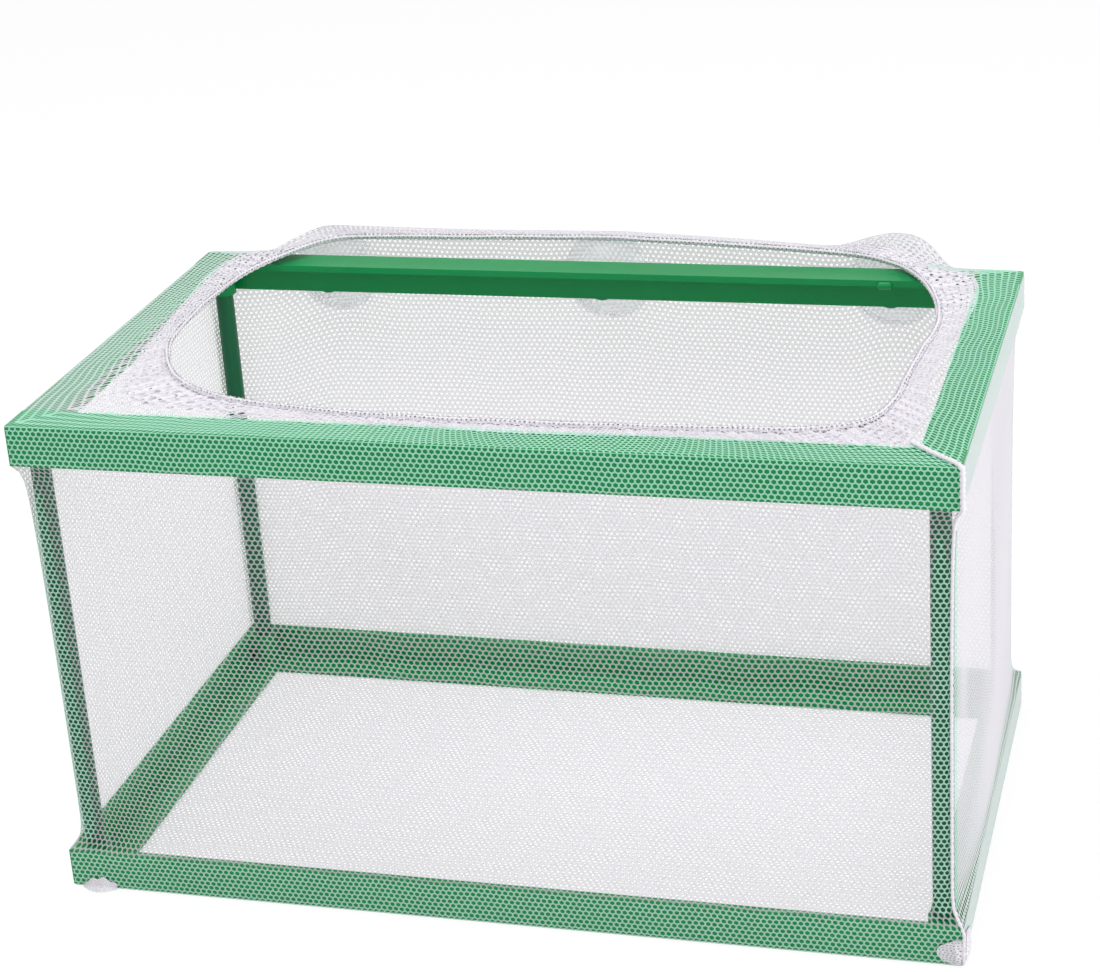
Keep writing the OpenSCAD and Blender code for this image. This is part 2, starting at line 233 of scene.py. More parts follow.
# ---- suction cups ----
# Three cups of clear plasticised vinyl, moulded in one piece with the neck that
# snaps into a ring on the rear rail. The vinyl is glossy and faintly milky.
CUP_HAZE_MM = 6

cup_vinyl, tree = finish_material("clear_moulded_vinyl")
place = node(tree, "ShaderNodeTexCoord")
haze = node(tree, "ShaderNodeTexNoise", {"Scale": 1000 / CUP_HAZE_MM, "Detail": 2.0},
            Vector=place.outputs["Object"])
dull = node(tree, "ShaderNodeMapRange", {"To Min": 0.1, "To Max": 0.22}, Value=haze.outputs["Fac"])
clear = node(tree, "ShaderNodeBsdfPrincipled",
             {"Base Color": colour("#F1F5F6"), "IOR": 1.45, "Transmission Weight": 0.84, "Alpha": 0.55},
             Roughness=dull.outputs[0])
node(tree, "ShaderNodeOutputMaterial", Surface=clear.outputs[0])

dress("suction_cup_", cup_vinyl)

# ---- net walls and bottom ----
# A bag of warp-knitted nylon net with six-sided holes, 1.76 mm apart along a row.
# It is pulled over the frame, turns round the rails' edges and hugs the posts.
MM = 0.001
NET_OFF = 0.2            # from the frame to the middle of the net
EDGE_R = 1.0             # round the edges of the frame
HOLE_ACROSS = 1.76
HOLE_UP = 1.42
STRAND = 0.5             # width of a strand between two holes
STRAND_RISE = 0.16       # its middle stands this far over its sides
SWAY = 0.3               # how far the rows wander, as in any knitted net
SWAY_LENGTH = 4.5
DRAWN_IN = 30            # how far from a corner a wall is drawn in by its post
CLOSEST = 0.92           # how closely it hugs the posts halfway up, from 0 to 1
HUG_ABOVE = 2.2          # how soon above a bottom rail it does so
HUG_BELOW = 2.5          # and how soon below a top rail,
HUG_EASES = 22           # from where a share of it still eases over this height
HUG_EASE_SHARE = 0.35
SPRING_BACK = 38         # how far along a wall the net takes to leave the post's line
WAVES_FROM = 25          # how far from a post its slow waves are full

low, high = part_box("top_rail_front")
half_w = high.x / MM + NET_OFF
half_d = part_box("bottom_rail_back")[1].y / MM + NET_OFF
top = high.z / MM + NET_OFF
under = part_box("bottom_rail_front")[0].z / MM - NET_OFF
leg_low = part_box("bottom_rail_front")[1].z / MM      # the posts are bare between these
leg_high = low.z / MM
post_low, post_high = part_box("post_front_right")
post_r = (post_high.x - post_low.x) / 2 / MM + NET_OFF
post_x = (post_low.x + post_high.x) / 2 / MM
post_y = -(post_low.y + post_high.y) / 2 / MM
rail_leg = (high.z - low.z) / MM + 0.4       # the net rests on the frame this far in from its faces


def ease(t):
    """Runs smoothly from 0 to 1, and stays there."""
    t = np.clip(t, 0, 1)
    return t * t * (3 - 2 * t)


def hug(z):
    """How closely the net lies on the posts at height z, from 0 to 1."""
    up, down = np.maximum(z - leg_low, 0), np.maximum(leg_high - z, 0)
    below = HUG_EASE_SHARE * np.exp(-down / HUG_EASES)
    return CLOSEST * (1 - np.exp(-up / HUG_ABOVE)) * (
        1 - below - (1 - HUG_EASE_SHARE) * np.exp(-down / HUG_BELOW))


# Net that lies on the green rails and posts gets painted green light: its threads are mixed towards
# mint, standing in for light that goes through them and comes back green from the plastic. These set
# its strength face by face.
GREEN_SHORT_OF = 0.5     # the tint ends this far short of the edges that face the posts
GREEN_PAST_POST = 1.2    # and this far out from a post
GREEN_AT_SIDE = 0.2      # on the left and right faces, where the net lies looser
GREEN_BELOW = 0.75       # on the posts and bottom rails
GREEN_ABOVE = 0.45       # on the other top rails; 1 on the front one and the right one's top


def painted_green_bounce(at):
    """How much painted green light net at these points gets from a rail or post that it lies on, from 0
    to 1.
    """
    x, y, z = np.abs(at[:, 0]), np.abs(at[:, 1]), at[:, 2]
    on_rail = ((z > leg_high + GREEN_SHORT_OF) | (z < leg_low - GREEN_SHORT_OF)) & (z < top + 1)
    on_rail &= (x > half_w - rail_leg) | (y > half_d - rail_leg)
    on_post = np.hypot(x - post_x, y - post_y) < post_r + GREEN_PAST_POST
    flat_top = z > top - EDGE_R
    at_side = (x > half_w - 0.3) & ~flat_top
    closest = (at[:, 1] < rail_leg - half_d) | (at[:, 0] > half_w - rail_leg) & flat_top
    looser = np.where(at_side, GREEN_AT_SIDE, np.where(z > leg_high, GREEN_ABOVE, GREEN_BELOW))
    return np.where((on_rail | on_post) & (at[:, 1] < half_d + 1),
                    np.where(closest & (z > leg_high) & ~at_side, 1.0, looser), 0.0)


FILAMENT_MM = 0.5        # coarser than real filaments, so that they show


def nylon(name, cover, on_green=None):
    """White nylon filament: covers this share of what lies behind, as fine threads do.

    On green plastic it covers the share on_green, and its colour is mixed towards mint: painted light
    that stands in for light going through it and back from the plastic."""
    made, tree = finish_material(name)
    place = node(tree, "ShaderNodeTexCoord")
    filaments = node(tree, "ShaderNodeTexNoise", {"Scale": 1000 / FILAMENT_MM, "Detail": 2.0},
                     Vector=place.outputs["Object"])
    tint = node(tree, "ShaderNodeMix", {"data_type": "RGBA"}, Factor=filaments.outputs["Fac"])
    tint.inputs["A"].default_value = colour("#E6E2EA")
    tint.inputs["B"].default_value = colour("#F5F2F8")
    relief = node(tree, "ShaderNodeBump", {"Strength": 0.15, "Distance": 0.0001},
                  Height=filaments.outputs["Fac"])
    thread = node(tree, "ShaderNodeBsdfPrincipled",
                  {"IOR": 1.5, "Roughness": 0.6, "Specular IOR Level": 0.3, "Alpha": cover},
                  Base_Color=tint.outputs["Result"], Normal=relief.outputs[0])
    if on_green is not None:
        # Painted green light: where the net lies on the plastic, its threads turn mint and cover more.
        green = node(tree, "ShaderNodeAttribute", {"attribute_name": "painted_green_bounce"})
        painted_green_light = node(tree, "ShaderNodeMix", {"data_type": "RGBA"}, Factor=green.outputs["Fac"])
        tree.links.new(tint.outputs["Result"], painted_green_light.inputs["A"])
        painted_green_light.inputs["B"].default_value = colour("#B6F4D8")
        opacity = node(tree, "ShaderNodeMapRange", {"To Min": cover, "To Max": on_green},
                       Value=green.outputs["Fac"])
        tree.links.new(painted_green_light.outputs["Result"], thread.inputs["Base Color"])
        tree.links.new(opacity.outputs[0], thread.inputs["Alpha"])
    node(tree, "ShaderNodeOutputMaterial", Surface=thread.outputs[0])
    return made


net_nylon = nylon("knitted_nylon_white", 0.48, 0.8)
# The right wall and the turned-in net are slacker, so their threads stand closer.
dense_nylon = nylon("dense_knitted_nylon_white", 0.8, 0.8)
# Against white, where nothing dark shows the holes, loose filaments seem to fill
# most of each hole. They are drawn as wider, fainter strands.
FULL_STRAND = 0.95
full_nylon = nylon("bulked_nylon_white", 0.55, 0.8)


def laid(flat, lift, lie):
    """Points of a flat sheet on the surface that lie gives, lift out from it, in metres."""
    step = 0.01
    u, v = flat[:, 0], flat[:, 1]
    at = lie(u, v)
    out = np.cross(lie(u + step, v) - at, lie(u, v + step) - at)
    out /= np.maximum(np.linalg.norm(out, axis=1, keepdims=True), 1e-12)
    return (at + out * lift[:, None]) * MM


def ride_with_box(name, mesh, material):
    """The mesh as a smooth object of one material, that rides with the box."""
    mesh.shade_smooth()
    mesh.materials.append(material)
    mesh.update()
    made = bpy.data.objects.new(name, mesh)
    bpy.context.scene.collection.objects.link(made)
    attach(made, "box")
    return made


def piece(name, bm, width, length, lie, material, sway):
    """An object from a flat mesh in millimetres, laid as lie says, with its own flat map."""
    mesh = bpy.data.meshes.new(name)
    bm.to_mesh(mesh)
    bm.free()
    points = np.zeros(len(mesh.vertices) * 3)
    mesh.vertices.foreach_get("co", points)
    points = points.reshape(-1, 3)
    corners = np.zeros(len(mesh.loops), dtype=int)
    mesh.loops.foreach_get("vertex_index", corners)
    flat_map = mesh.uv_layers.new(name="OFBake")
    spread = points[corners, :2] / (width, length) + 0.5
    flat_map.data.foreach_set("uv", spread.ravel())
    flat_area = sum(p.area for p in mesh.polygons) * MM * MM
    u, v = points[:, 0] / SWAY_LENGTH, points[:, 1] / SWAY_LENGTH
    free = 1 - np.maximum(np.abs(points[:, 0]) * 2 / width, np.abs(points[:, 1]) * 2 / length) ** 8
    phase = len(name) + width
    points[:, 0] += (sway * free * np.sin(v + phase)
                     * np.cos(0.43 * u + 1.3 * np.sin(0.31 * v + phase)))
    points[:, 1] += (sway * free * np.sin(0.9 * u + 2 * phase)
                     * np.cos(0.37 * v + 1.1 * np.sin(0.27 * u)))
    at = laid(points[:, :2], points[:, 2], lie)
    mesh.vertices.foreach_set("co", at.ravel())
    mesh.attributes.new("painted_green_bounce", "FLOAT", "POINT").data.foreach_set("value", painted_green_bounce(at / MM))
    return ride_with_box(name, mesh, material), flat_area


def knit(name, width, length, lie, across=HOLE_ACROSS, up=HOLE_UP, strand=STRAND,
         material=net_nylon, sway=SWAY):
    """A sheet of net, width by length in millimetres, laid as lie says."""
    columns = 2 * round(width / across)
    rows = round(length / up)
    bm = bmesh.new()
    bmesh.ops.create_grid(bm, x_segments=columns, y_segments=rows, size=0.5)
    spare = []
    for edge in bm.edges:
        a, b = (vert.co for vert in edge.verts)
        column = round((a.x + 0.5) * columns)
        row = round((min(a.y, b.y) + 0.5) * rows)
        if abs(a.x - b.x) < 1e-6 and 0 < column < columns and (column + row) % 2:
            spare.append(edge)
    for vert in bm.verts:
        column = round((vert.co.x + 0.5) * columns)
        row = round((vert.co.y + 0.5) * rows)
        if 0 < row < rows:
            vert.co.y += (1 if (column + row) % 2 == 0 else -1) / 6 / rows
    bmesh.ops.dissolve_edges(bm, edges=spare, use_verts=False, use_face_split=False)
    bmesh.ops.scale(bm, vec=(width, length, 1), verts=bm.verts)
    inset = bmesh.ops.inset_individual(bm, faces=bm.faces[:], thickness=strand / 2,
                                       depth=-STRAND_RISE, use_even_offset=True)
    strands = set(inset["faces"])
    holes = [face for face in bm.faces if face not in strands]
    bmesh.ops.delete(bm, geom=holes, context="FACES_ONLY")
    bmesh.ops.translate(bm, vec=(0, 0, STRAND_RISE / 2), verts=bm.verts)
    return piece(name, bm, width, length, lie, material, sway)


def turned(along, out, z, quarters):
    """Puts a wall's own directions along and out at the front, right, back or left."""
    x, y = ((along, -out), (out, along), (-along, out), (-out, -along))[quarters]
    return np.stack([x, y, z], axis=1)


def ripple(u, v, seed):
    """Slow waves of about half a millimetre in a sheet that is held at its edges."""
    return 0.3 * (np.sin(u / 17 + seed) * np.sin(v / 23 + 2 * seed) + np.sin(u / 31 - v / 19 + seed))


def wall(quarters, half_run, half_out, run_post, out_post):
    """The lie of a wall between two corner posts; v is 0 at half its height."""
    def lie(u, v):
        z = v + (under + top) / 2
        k = hug(z)
        r = EDGE_R + (post_r - EDGE_R) * k
        run = half_run - EDGE_R + (run_post - half_run + EDGE_R) * k
        out = half_out - EDGE_R + (out_post - half_out + EDGE_R) * k
        # the net draws in round the post, and only near it
        s = np.abs(u) - (half_run - run - r) * ease((np.abs(u) - half_run + DRAWN_IN) / DRAWN_IN)
        past = np.maximum(s - run, 0)
        level = np.clip(z, under + EDGE_R, top - EDGE_R)
        reach = np.sqrt(past**2 + r**2 + (z - level) ** 2)
        free = np.maximum(run - s, 0)
        spring = (half_out - out - r) * (1 - np.exp(-free / SPRING_BACK)) * (past == 0)
        waves = ripple(u, v, quarters) * ease(free / WAVES_FROM) * hug(z)
        return turned(np.sign(u) * (np.minimum(s, run) + r * past / reach),
                      out + r * r / reach + spring + waves, level + r * (z - level) / reach, quarters)
    return lie


def bottom_lie(u, v):
    """The bottom lies on the floor and turns up at its edges."""
    flat_x = np.clip(u, EDGE_R - half_w, half_w - EDGE_R)
    flat_y = np.clip(-v, EDGE_R - half_d, half_d - EDGE_R)
    past_x, past_y = u - flat_x, -v - flat_y
    reach = np.sqrt(past_x**2 + past_y**2 + EDGE_R**2)
    return np.stack([flat_x + EDGE_R * past_x / reach, flat_y + EDGE_R * past_y / reach,
                     under + EDGE_R - EDGE_R**2 / reach], axis=1)


tall = top - under
thin, dense, full = (STRAND, net_nylon), (STRAND, dense_nylon), (FULL_STRAND, full_nylon)
sheets = (
    ("bag_front", "net_front", 2 * half_w, tall, wall(0, half_w, half_d, post_x, post_y), thin),
    ("bag_right", "net_right", 2 * half_d, tall, wall(1, half_d, half_w, post_y, post_x), dense),
    ("bag_left", "net_left", 2 * half_d, tall, wall(3, half_d, half_w, post_y, post_x), full),
    ("bag_bottom", "net_bottom", 2 * half_w, 2 * half_d, bottom_lie, full),
)
for name, stands_for, width, length, lie, (strand, material) in sheets:
    made, area = knit(name, width, length, lie, strand=strand, material=material)
    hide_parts(stands_for)
    if name == "bag_front":
        continue

# ---- net at the rear, over the cups ----
# The rear of the bag is drawn back over the cups' rims like a tent, and its top
# edge runs from the rail's corners up over them. It bags a little by the right cup.


def smooth(points, count, closed=False):
    """Points evenly spaced on a smooth line through the given ones."""
    given = np.array(points, float)
    n = len(given)
    parts = n if closed else n - 1
    pick = (lambda i: given[i % n]) if closed else (lambda i: given[min(max(i, 0), n - 1)])
    fine = []
    for i in range(parts):
        a, b, c, d = (pick(i + k) for k in (-1, 0, 1, 2))
        for t in np.arange(0, 1, 0.05):
            fine.append(0.5 * (2 * b + (c - a) * t + (2 * a - 5 * b + 4 * c - d) * t**2
                               + (3 * b - a - 3 * c + d) * t**3))
    fine.append(fine[0] if closed else given[-1])
    fine = np.array(fine)
    gone = np.concatenate([[0], np.cumsum(np.linalg.norm(np.diff(fine, axis=0), axis=1))])
    want = np.linspace(0, gone[-1], count, endpoint=not closed)
    return np.stack([np.interp(want, gone, fine[:, k]) for k in range(given.shape[1])], axis=1)


cup_low, cup_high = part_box("suction_cup_middle")
cup_z = (cup_low.z + cup_high.z) / 2 / MM
cup_r = (cup_high.z - cup_low.z) / 2 / MM
cup_face = cup_high.y / MM
cup_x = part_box("suction_cup_right")[1].x / MM - cup_r
OVER_CUP = 0.5
over = cup_face + OVER_CUP           # how far out the net stands over a cup's rim
crest = cup_z + cup_r + OVER_CUP     # how high it runs over a cup

# The bag's top edge from left to right: x, distance behind the middle, height
ridge_line = smooth([
    (-half_w, half_d, top), (-118, half_d, top), (-112, half_d + 0.6, top + 0.3),
    (-105.5, 82.5, top + 3), (-99, over - 0.4, crest - 1.4), (-cup_x, over, crest),
    (-78, over, crest - 0.1), (-40, over, crest - 0.4), (0, over, crest), (14, over, crest - 0.3),
    (45, over, crest - 1.7), (70, over, crest - 3.2), (78.5, over, crest - 2.8),
    (84, over, crest - 0.7), (88, over, crest + 0.8), (93, over, crest + 1.3),
    (98, over, crest + 0.6), (102, over - 0.3, crest - 1.4), (106, 84.5, top + 2.4),
    (110, half_d + 2, top + 0.5), (115, half_d + 0.3, top), (half_w, half_d, top),
], 400)


def ridge(x):
    """(distance behind the middle, height) of the bag's top edge."""
    return (np.interp(x, ridge_line[:, 0], ridge_line[:, 1]),
            np.interp(x, ridge_line[:, 0], ridge_line[:, 2]))


# The tent's shape comes from letting a taut sheet settle on what stands under it.
TENT_COLUMNS = 161
TENT_ROWS = 97
TENT_ROUNDS = 2500
BEHIND_POSTS = 3         # between the rails it can sink in this far
tent_x = np.linspace(-half_w, half_w, TENT_COLUMNS)
ridge_out, ridge_z = ridge(tent_x)
tent_z = under + np.linspace(0, 1, TENT_ROWS)[:, None] * (ridge_z - under)[None, :]
held = np.where((tent_z < leg_low) | (tent_z > leg_high), half_d, half_d - BEHIND_POSTS)
for x in (-cup_x, 0, cup_x):
    on_cup = (tent_x[None, :] - x) ** 2 + (tent_z - cup_z) ** 2 < (cup_r + 0.3) ** 2
    held = np.where(on_cup, over - 0.1, held)
tent = np.full((TENT_ROWS, TENT_COLUMNS), half_d)
tent[-1] = ridge_out
side_pull = ((tent_x[1] - tent_x[0]) / (tall / (TENT_ROWS - 1))) ** 2
for _ in range(TENT_ROUNDS):
    inner = (tent[1:-1, :-2] + tent[1:-1, 2:] + side_pull * (tent[:-2, 1:-1] + tent[2:, 1:-1]))
    tent[1:-1, 1:-1] = np.maximum(inner / (2 + 2 * side_pull), held[1:-1, 1:-1])


def tent_out(x, height):
    """How far out the tent stands at x and at a share of its height."""
    i = np.clip((x + half_w) / (2 * half_w), 0, 1) * (TENT_COLUMNS - 1)
    j = np.clip(height, 0, 1) * (TENT_ROWS - 1)
    i0 = np.minimum(i.astype(int), TENT_COLUMNS - 2)
    j0 = np.minimum(j.astype(int), TENT_ROWS - 2)
    a, b = i - i0, j - j0
    return ((1 - b) * ((1 - a) * tent[j0, i0] + a * tent[j0, i0 + 1])
            + b * ((1 - a) * tent[j0 + 1, i0] + a * tent[j0 + 1, i0 + 1]))


RIDGE_RISE = 3.5         # the rear is cut taller, for its climb over the cups
rear_tall = tall + RIDGE_RISE


def rear_lie(u, v):
    """The rear wall up to the rails, drawn out over the cups as the tent settles."""
    share = v / rear_tall + 0.5
    base = wall(2, half_w, half_d, post_x, post_y)(u, share * tall - tall / 2)
    x = np.clip(-u, -half_w, half_w)
    out, high_z = ridge(x)
    z = under + share * (high_z - under)
    level = np.minimum(z, high_z - EDGE_R)
    reach = np.sqrt((z - level) ** 2 + EDGE_R**2)
    lifted = tent_out(x, share) - half_d
    round_off = np.where(z > level, EDGE_R**2 / reach - EDGE_R, 0)
    settled = np.where(z < under + EDGE_R, base[:, 2], level + EDGE_R * (z - level) / reach)
    # the wall's own turn at its top edge gives way to the ridge's
    at_top = share * tall + under > top - EDGE_R
    y = np.where(at_top, half_d + round_off, base[:, 1]) + lifted
    return np.stack([base[:, 0], y, settled], axis=1)


made, area = knit("bag_back", 2 * half_w, rear_tall, rear_lie, strand=FULL_STRAND,
                  material=full_nylon)
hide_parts("net_back", "net_cup_band")

# ---- mouth ----
# The net turns in over the rails and is gathered by an elastic hem, which hangs
# free inside the frame and climbs over the cups at the rear.
mouth_line = smooth([
    (-74.9, -51.9, 148.9), (-52.4, -56.6, 148.8), (-22.1, -59.6, 148.8), (20.5, -60.2, 148.8),
    (59.9, -59.1, 148.8), (87.7, -57.1, 148.8), (103.5, -50.5, 148.9), (109.2, -34, 148.9),
    (110.2, -14, 148.9), (111.6, 6.6, 149.0), (113.0, 20, 149.2), (112.2, 36, 149.6),
    (108.2, 51.5, 150.1), (102.6, 64, 150.5), (97.0, 72, 150.5), (92, 76, 150.7),
    (86.5, 78.7, 151.1), (75.8, 81, 151.6), (47.2, 82.6, 152.7), (14.4, 83, 153.9), (0, 83, 154.2),
    (-16, 83, 154.0), (-51.2, 83, 153.4), (-80, 82.6, 153.0), (-88.5, 81.3, 152.6),
    (-95.5, 77.5, 151.9), (-101.8, 69.2, 151.4), (-107, 59.2, 150.9), (-111.0, 47, 150.3),
    (-112.8, 32, 149.8), (-113.2, 16, 149.4), (-112.4, 0, 149.1), (-110, -12, 149.0),
    (-105.0, -24.5, 148.9), (-97.9, -35.8, 148.9), (-88, -45.4, 148.9),
], 1200, closed=True)
mouth_length = np.linalg.norm(np.diff(mouth_line, axis=0, append=mouth_line[:1]), axis=1).sum()


def mouth(share):
    """Points of the hem's line at shares of its way round."""
    n = len(mouth_line)
    i = (share % 1) * n
    i0 = i.astype(int) % n
    part = (i - np.floor(i))[:, None]
    return mouth_line[i0] * (1 - part) + mouth_line[(i0 + 1) % n] * part


def nearest_share(x, y):
    """The share of its way round at which the hem's line is nearest to a point."""
    away = (mouth_line[:, 0] - x) ** 2 + (mouth_line[:, 1] - y) ** 2
    return np.argmin(away) / len(mouth_line)


pull = [nearest_share(x * half_w, y * half_d) for x, y in ((-1, -1), (1, -1), (1, 1), (-1, 1))]


def side_shares(quarters):
    """The shares of the hem's line between which one side of the bag is gathered."""
    start, end = pull[quarters], pull[(quarters + 1) % 4]
    return start, end + (end < start)


def top_edge(quarters, u):
    """Points of the bag's top edge, u along one of its four sides."""
    if quarters == 2:
        return turned(u, *ridge(np.clip(-u, -half_w, half_w)), quarters)
    out = half_d if quarters == 0 else half_w
    return turned(u, np.full_like(u, out), np.full_like(u, top), quarters)


GATHER_SPREAD = 26       # how far along the hem from a corner the gathers reach
GATHER_HEIGHT = 0.42


def corner_share(share):
    """1 at the mouth's corners, where the most net is gathered, falling to 0 between them."""
    return sum(np.exp(-((((share - p + 0.5) % 1) - 0.5) * mouth_length / GATHER_SPREAD) ** 2)
               for p in pull)


def gathers(share, t):
    """Folds that the elastic draws in the net, deepest at the hem and at the corners."""
    g = share * mouth_length
    folds = np.sin(g * 1.25 + 2 * np.sin(g / 11)) + 0.6 * np.sin(g * 2.1 + 3 * np.sin(g / 7))
    return GATHER_HEIGHT * folds * (0.4 + corner_share(share)) * ease((t - 0.3) / 0.6)


def on_rails(at, lowest):
    """Lifts points to the given height where they lie over the frame's rails."""
    over_rail = (np.abs(at[:, 0]) > half_w - rail_leg) | (np.abs(at[:, 1]) > half_d - rail_leg)
    return np.where(over_rail, np.maximum(at[:, 2], lowest), at[:, 2])


def rim(quarters, half_run, width):
    """The lie of the turned-in net between the bag's top edge and the hem."""
    start, end = side_shares(quarters)
    def lie(u, v):
        t = v / width + 0.5
        round_share = start + (u / (2 * half_run) + 0.5) * (end - start)
        edge = top_edge(quarters, u)
        at = edge + (mouth(round_share) - edge) * t[:, None]
        at[:, 2] += gathers(round_share, t)
        flat_x = np.clip(at[:, 0], EDGE_R - half_w, half_w - EDGE_R)
        flat_y = np.clip(at[:, 1], EDGE_R - half_d, (edge[:, 1] if quarters == 2 else half_d) - EDGE_R)
        past_x, past_y = at[:, 0] - flat_x, at[:, 1] - flat_y
        reach = np.sqrt(past_x**2 + past_y**2 + EDGE_R**2)
        z = on_rails(at, top) - EDGE_R + EDGE_R**2 / reach
        x, y = flat_x + EDGE_R * past_x / reach, flat_y + EDGE_R * past_y / reach
        return np.stack([x, y, z], axis=1)
    return lie


for name, stands_for, quarters, half_run, width, rows_up in (
    ("rim_front", "net_rim_front", 0, half_w, 18, HOLE_UP),
    ("rim_right", "net_rim_right", 1, half_d, 20, HOLE_UP),
    ("rim_back", "net_rim_back", 2, half_w, 12, 1.1),
    ("rim_left", "net_rim_left", 3, half_d, 20, HOLE_UP),
):
    made, area = knit(name, 2 * half_run, width, rim(quarters, half_run, width), up=rows_up,
                      material=dense_nylon)
    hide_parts(stands_for)

# ---- hem and elastic ----
# The net's edge is folded back under itself and rolled round a covered elastic,
# and a row of short stitches holds the roll on the side of the mouth.
HEM_R = 0.95
HEM_TURNS = 1.25
ELASTIC_R = 0.55
FOLD = 6.5               # net folded back beside the roll
FOLD_AT_CORNER = 16      # it reaches further where the corners gather it
UNDER_RIM = 0.4          # the fold lies this far under the turned-in net
ELASTIC_WRAP_MM = 0.4
THREAD_TWIST_MM = 0.7    # coarser than the real twist, so that it shows
STITCH_EVERY = 1.5
STITCH_LENGTH = 1.0
STITCH_R = 0.17


def solid_piece(name, bm, material):
    """An object from a finished mesh in metres, that rides with the box."""
    bmesh.ops.recalc_face_normals(bm, faces=bm.faces)
    mesh = bpy.data.meshes.new(name)
    bm.to_mesh(mesh)
    bm.free()
    return ride_with_box(name, mesh, material)


def tube(name, line, wide, tall_, around, closed, material, side=None):
    """A tube along a line in millimetres; wide and tall_ are its half widths at each point."""
    steps = len(line)
    last = steps if closed else steps - 1
    bm = bmesh.new()
    bmesh.ops.create_grid(bm, x_segments=last, y_segments=around, size=0.5)
    ahead = np.roll(line, -1, axis=0) - np.roll(line, 1, axis=0)
    if not closed:
        ahead[0], ahead[-1] = line[1] - line[0], line[-1] - line[-2]
    ahead /= np.linalg.norm(ahead, axis=1, keepdims=True)
    across = np.cross(ahead, (0, 0, 1)) if side is None else np.tile(side, (steps, 1))
    across = across / np.linalg.norm(across, axis=1, keepdims=True)
    upward = np.cross(across, ahead)
    for vert in bm.verts:
        k = round((vert.co.x + 0.5) * last) % steps
        angle = 2 * math.pi * (vert.co.y + 0.5)
        vert.co = (line[k] + across[k] * wide[k] * math.cos(angle)
                   + upward[k] * tall_[k] * math.sin(angle)) * MM
    bmesh.ops.remove_doubles(bm, verts=bm.verts, dist=1e-7)
    if not closed:
        bmesh.ops.holes_fill(bm, edges=[e for e in bm.edges if e.is_boundary])
    return solid_piece(name, bm, material)


# Yarn wound round a rubber core: dull, with fine ridges
elastic_cover, tree = finish_material("covered_elastic_white")
place = node(tree, "ShaderNodeTexCoord")
wraps = node(tree, "ShaderNodeTexNoise", {"Scale": 1000 / ELASTIC_WRAP_MM, "Detail": 2.0},
             Vector=place.outputs["Object"])
relief = node(tree, "ShaderNodeBump", {"Strength": 0.5, "Distance": 0.0001},
              Height=wraps.outputs["Fac"])
cover = node(tree, "ShaderNodeBsdfPrincipled",
             {"Base Color": colour("#EFEDF2"), "Roughness": 0.75}, Normal=relief.outputs[0])
node(tree, "ShaderNodeOutputMaterial", Surface=cover.outputs[0])

elastic_line = mouth_line[::2]
elastic_half = np.full(len(elastic_line), ELASTIC_R)
elastic = tube("hem_elastic", elastic_line, elastic_half, elastic_half, 8, True, elastic_cover)
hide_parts("mouth_elastic")

sewn_nylon = nylon("sewn_nylon_net_white", 1.0)
roll = 2 * math.pi * HEM_R * HEM_TURNS
hem_wide = FOLD + roll


def bag_edge(share):
    """The points of the bag's top edge from which the net is drawn to the hem at these shares."""
    edge = np.zeros((len(share), 3))
    for quarters, half_run in enumerate((half_w, half_d, half_w, half_d)):
        start, end = side_shares(quarters)
        t = ((share - start) % 1) / (end - start)
        along = top_edge(quarters, (2 * np.minimum(t, 1) - 1) * half_run)
        edge = np.where((t <= 1)[:, None], along, edge)
    return edge


def hem_frame(share):
    """Points of the hem's line, and its directions out from the mouth and up."""
    ahead = mouth(share + 0.001) - mouth(share - 0.001)
    ahead /= np.linalg.norm(ahead, axis=1, keepdims=True)
    across = np.cross(ahead, (0, 0, 1))
    across /= np.linalg.norm(across, axis=1, keepdims=True)
    return mouth(share), across, np.cross(across, ahead)


def hem_lie(u, v):
    """The fold runs in under the rim to the hem, and the rest rolls up round the elastic."""
    share = u / mouth_length
    at, across, upward = hem_frame(share)
    along = v + hem_wide / 2 - FOLD
    drawn = bag_edge(share) - at
    free = np.linalg.norm(drawn, axis=1)
    reach = np.minimum(FOLD + (FOLD_AT_CORNER - FOLD) * corner_share(share), 0.8 * free)
    part = (np.maximum(-along, 0) / FOLD * reach / free)[:, None]
    fold = at + drawn * part
    fold[:, 2] += gathers(share + 0.002, 1 - part[:, 0]) - UNDER_RIM
    fold[:, 2] = on_rails(fold, top - 0.1)
    turn = np.maximum(along, 0) / HEM_R
    pucker = 0.1 * np.sin(share * mouth_length * 2.2) + 0.05 * np.sin(share * mouth_length * 5.1)
    r = (HEM_R - 0.3 * turn / (2 * math.pi * HEM_TURNS) + pucker)[:, None]
    rolled = at - r * (across * np.sin(turn)[:, None] + upward * np.cos(turn)[:, None])
    blend = ease((along + 1.2) / 1.2)[:, None]
    return fold * (1 - blend) + rolled * blend


hem, hem_area = knit("hem", mouth_length, hem_wide, hem_lie, across=1.35, up=1.1, strand=0.8,
                     material=sewn_nylon, sway=0.2)
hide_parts("mouth_hem")

# Spun thread is dull, and a little greyer than the net, so that each stitch shows
sewing_thread, tree = finish_material("spun_polyester_thread_grey")
place = node(tree, "ShaderNodeTexCoord")
twist = node(tree, "ShaderNodeTexNoise", {"Scale": 1000 / THREAD_TWIST_MM, "Detail": 1.0},
             Vector=place.outputs["Object"])
tint = node(tree, "ShaderNodeMix", {"data_type": "RGBA"}, Factor=twist.outputs["Fac"])
tint.inputs["A"].default_value = colour("#B3AEB8")
tint.inputs["B"].default_value = colour("#CBC6CF")
spun = node(tree, "ShaderNodeBsdfPrincipled", {"Roughness": 0.8},
            Base_Color=tint.outputs["Result"])
node(tree, "ShaderNodeOutputMaterial", Surface=spun.outputs[0])


